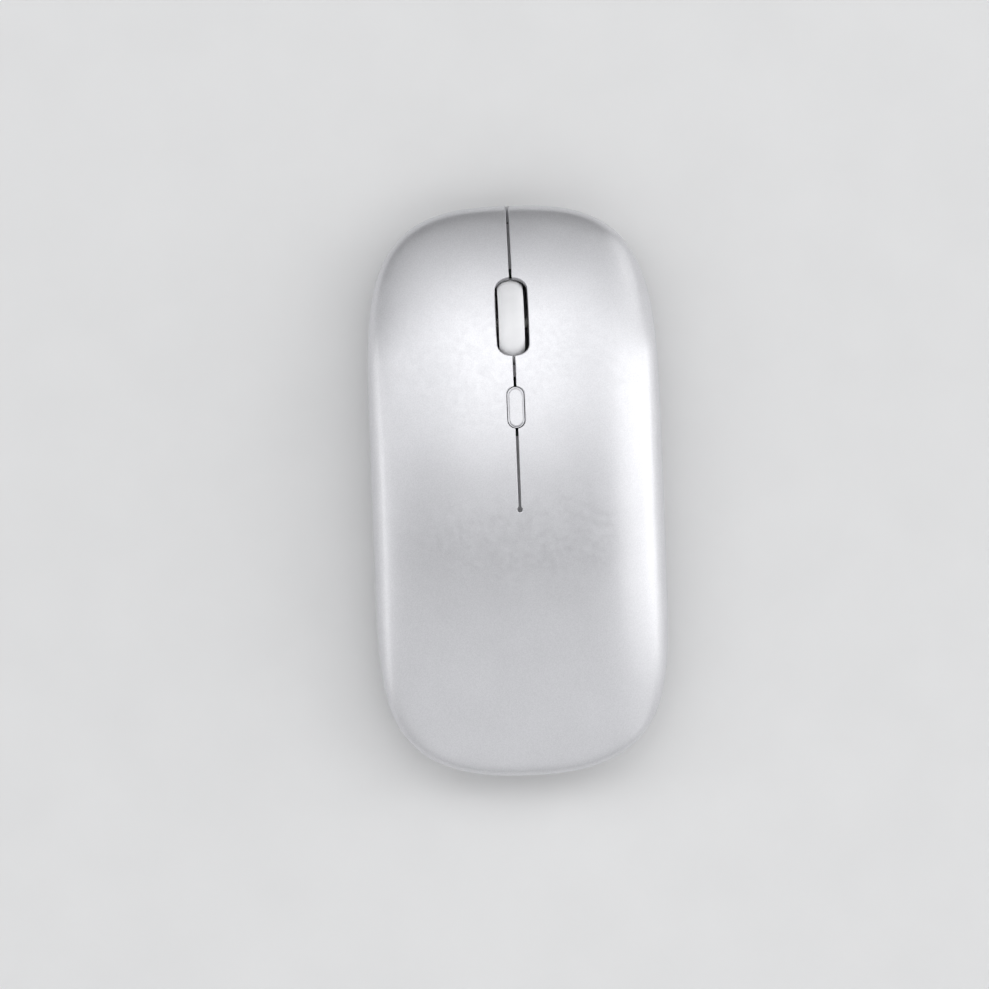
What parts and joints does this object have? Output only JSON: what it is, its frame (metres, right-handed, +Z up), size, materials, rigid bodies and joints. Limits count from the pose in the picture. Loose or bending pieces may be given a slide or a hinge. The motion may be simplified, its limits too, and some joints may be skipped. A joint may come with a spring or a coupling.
{
  "type": "wireless mouse",
  "caption": "Slim low wireless computer mouse with a domed satin silver cover split into buttons, a scroll wheel, a pill-shaped button, a receiver bay and a charging port.",
  "frame": {"origin": "on the desk under the middle of the mouse: the centre of its footprint, at the height of the feet's lower faces", "axes": "+X to the user's right, +Y along the mouse from the palm to the button end, +Z up"},
  "size_m": [0.0574, 0.112, 0.024],
  "materials": {
    "silver_paint": "satin silver paint with fine metal flakes",
    "case_plastic": "satin silver-grey",
    "frame_plastic": "matte grey",
    "slick_feet": "smooth low-friction sheet",
    "wheel_silver": "smooth satin silver-white",
    "white_plastic": "moulded, unpainted",
    "black_plastic": "moulded, fine texture",
    "board_green": "solder-masked board",
    "steel": "plated",
    "clear_lens": "clear moulded acrylic",
    "battery_foil": "soft foil pouch",
    "foam": "adhesive foam",
    "red_wire": "soft wire sheath"
  },
  "bodies": {
    "body": {"palm_cover": "silver_paint", "base_shell": "case_plastic", "inner_frame": "frame_plastic", "front_foot": "slick_feet", "rear_foot": "slick_feet", "encoder_body": "black_plastic", "middle_switch_body": "black_plastic", "left_switch_body": "black_plastic", "right_switch_body": "black_plastic", "dpi_switch_body": "black_plastic", "main_board": "board_green", "sensor_chip": "black_plastic", "sensor_lens": "clear_lens", "controller_chip": "black_plastic", "clock_crystal": "steel", "charger_chip": "black_plastic", "charge_port_shell": "steel", "charge_port_tongue": "black_plastic", "power_switch_body": "steel", "battery_cell": "battery_foil", "battery_pad": "foam", "battery_plug": "white_plastic", "battery_socket": "white_plastic", "battery_wire_red": "red_wire", "battery_wire_black": "black_plastic", "front_screw_left": "steel", "front_screw_right": "steel", "rear_screw_left": "steel", "rear_screw_right": "steel", "board_screw_left": "steel", "board_screw_right": "steel"},
    "left_button": {"left_button": "silver_paint"},
    "right_button": {"right_button": "silver_paint"},
    "left_plunger": {"left_switch_plunger": "white_plastic"},
    "right_plunger": {"right_switch_plunger": "white_plastic"},
    "axle_saddle": {"axle_saddle": "black_plastic"},
    "wheel": {"wheel_hub": "white_plastic", "wheel_tyre": "wheel_silver"},
    "encoder_rotor": {"encoder_rotor": "white_plastic"},
    "middle_plunger": {"middle_switch_plunger": "white_plastic"},
    "dpi_button": {"dpi_button": "silver_paint"},
    "dpi_plunger": {"dpi_switch_plunger": "white_plastic"},
    "power_knob": {"power_knob": "black_plastic"},
    "receiver": {"receiver_cap": "black_plastic", "receiver_plug": "steel", "receiver_tongue": "white_plastic"}
  },
  "joints": [
    {"name": "left_button_press", "type": "hinge", "parent": "body", "child": "left_button", "pos_m": [-0.01435, -0.0037, 0.015], "axis": [-1, 0, 0], "range_deg": [0, 0.7], "stiffness_Nm_per_rad": 2.5},
    {"name": "right_button_press", "type": "hinge", "parent": "body", "child": "right_button", "pos_m": [0.01435, -0.0037, 0.015], "axis": [-1, 0, 0], "range_deg": [0, 0.7], "stiffness_Nm_per_rad": 2.5},
    {"name": "left_plunger_press", "type": "slide", "parent": "body", "child": "left_plunger", "axis": [0, 0, -1], "range_m": [0, 0.00055]},
    {"name": "right_plunger_press", "type": "slide", "parent": "body", "child": "right_plunger", "axis": [0, 0, -1], "range_m": [0, 0.00055]},
    {"name": "wheel_click", "type": "hinge", "parent": "body", "child": "axle_saddle", "pos_m": [-0.0079, 0.0327, 0.0134], "axis": [0, 1, 0], "range_deg": [0, 1.4], "stiffness_Nm_per_rad": 0.33},
    {"name": "middle_plunger_press", "type": "slide", "parent": "body", "child": "middle_plunger", "axis": [0, 0, -1], "range_m": [0, 0.0004]},
    {"name": "wheel_spin", "type": "hinge", "parent": "axle_saddle", "child": "wheel", "pos_m": [0, 0.0327, 0.0134], "axis": [-1, 0, 0], "continuous": true},
    {"name": "encoder_spin", "type": "hinge", "parent": "body", "child": "encoder_rotor", "pos_m": [-0.0079, 0.0327, 0.0134], "axis": [-1, 0, 0], "continuous": true},
    {"name": "dpi_press", "type": "slide", "parent": "body", "child": "dpi_button", "axis": [0, 0, -1], "range_m": [0, 0.00035], "stiffness_N_per_m": 3000},
    {"name": "dpi_plunger_press", "type": "slide", "parent": "body", "child": "dpi_plunger", "axis": [0, 0, -1], "range_m": [0, 0.0004]},
    {"name": "power_slide", "type": "slide", "parent": "body", "child": "power_knob", "axis": [0, 1, 0], "range_m": [0, 0.002]},
    {"name": "receiver_pull", "type": "slide", "parent": "body", "child": "receiver", "axis": [0, 0, -1], "range_m": [0, 0.02]}
  ],
  "couplings": [
    {"joint": "left_plunger_press", "follows": "left_button_press", "m_per_rad": 0.0412},
    {"joint": "right_plunger_press", "follows": "right_button_press", "m_per_rad": 0.0412},
    {"joint": "middle_plunger_press", "follows": "wheel_click", "m_per_rad": 0.0149},
    {"joint": "encoder_spin", "follows": "wheel_spin", "ratio": 1},
    {"joint": "dpi_plunger_press", "follows": "dpi_press", "ratio": 1}
  ]
}
